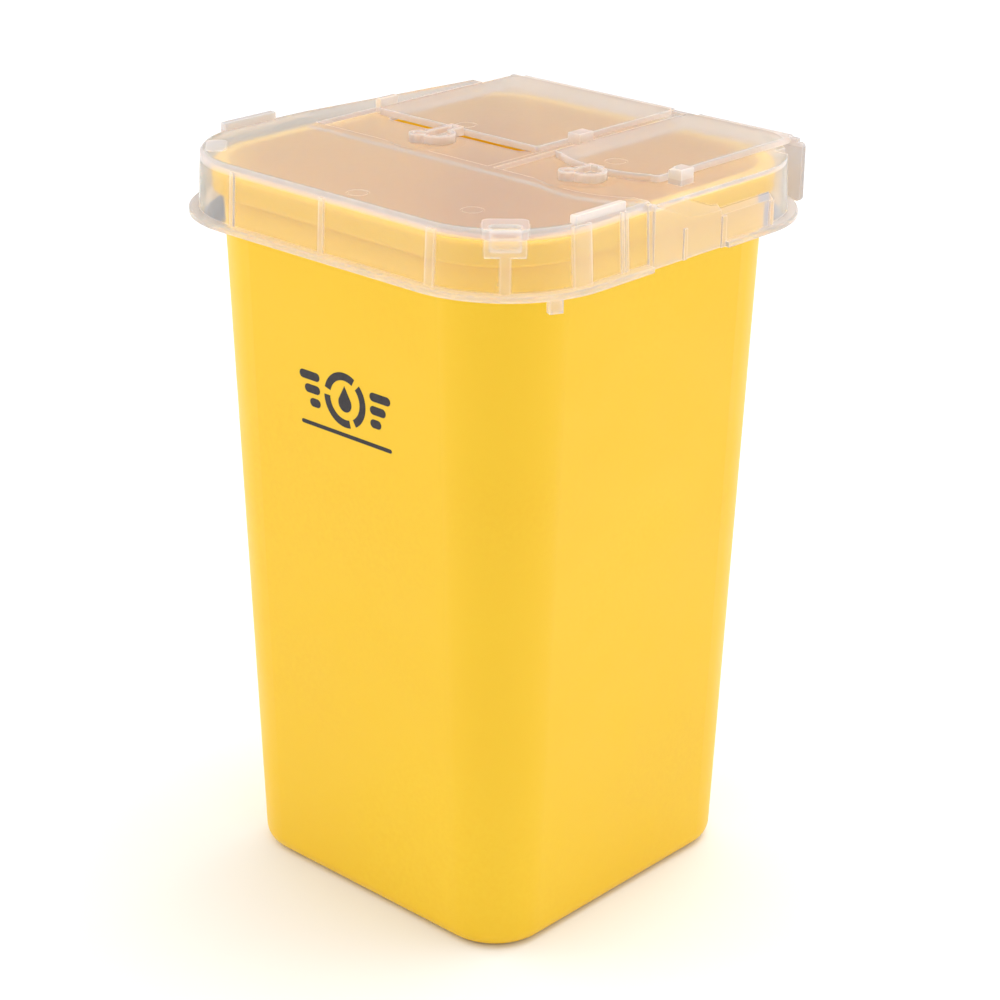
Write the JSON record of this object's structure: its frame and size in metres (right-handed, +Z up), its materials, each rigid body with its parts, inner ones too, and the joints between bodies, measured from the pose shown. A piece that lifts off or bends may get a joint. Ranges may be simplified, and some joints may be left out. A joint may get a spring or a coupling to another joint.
{
  "type": "sharps container",
  "caption": "Square tapered sharps bin with a translucent press-on lid, whose two hinged flaps cover drop openings of different widths.",
  "frame": {"origin": "centre of the base, on the plane of the foot ring", "axes": "+Z up, -Y the front, where the printed mark is, +X the side with the clip panel; the flaps hinge along the back"},
  "size_m": [0.106, 0.104, 0.1658],
  "materials": {
    "yellow_plastic": "satin yellow polypropylene",
    "clear_plastic": "translucent natural polypropylene"
  },
  "bodies": {
    "container": {"container_body": "yellow_plastic"},
    "lid": {"lid": "clear_plastic", "large_flap_hinge": "clear_plastic", "small_flap_hinge": "clear_plastic"},
    "large_flap": {"large_flap": "clear_plastic"},
    "small_flap": {"small_flap": "clear_plastic"}
  },
  "joints": [
    {"name": "lid_lift", "type": "slide", "parent": "container", "child": "lid", "axis": [0, 0, 1], "range_m": [0, 0.05]},
    {"name": "large_flap_hinge_turn", "type": "hinge", "parent": "lid", "child": "large_flap", "pos_m": [-0.015, 0.04925, 0.16375], "axis": [-1, 0, 0], "range_deg": [0, 180], "deforming": ["large_flap_hinge"]},
    {"name": "small_flap_hinge_turn", "type": "hinge", "parent": "lid", "child": "small_flap", "pos_m": [0.0269, 0.04925, 0.16375], "axis": [-1, 0, 0], "range_deg": [0, 180], "deforming": ["small_flap_hinge"]}
  ]
}
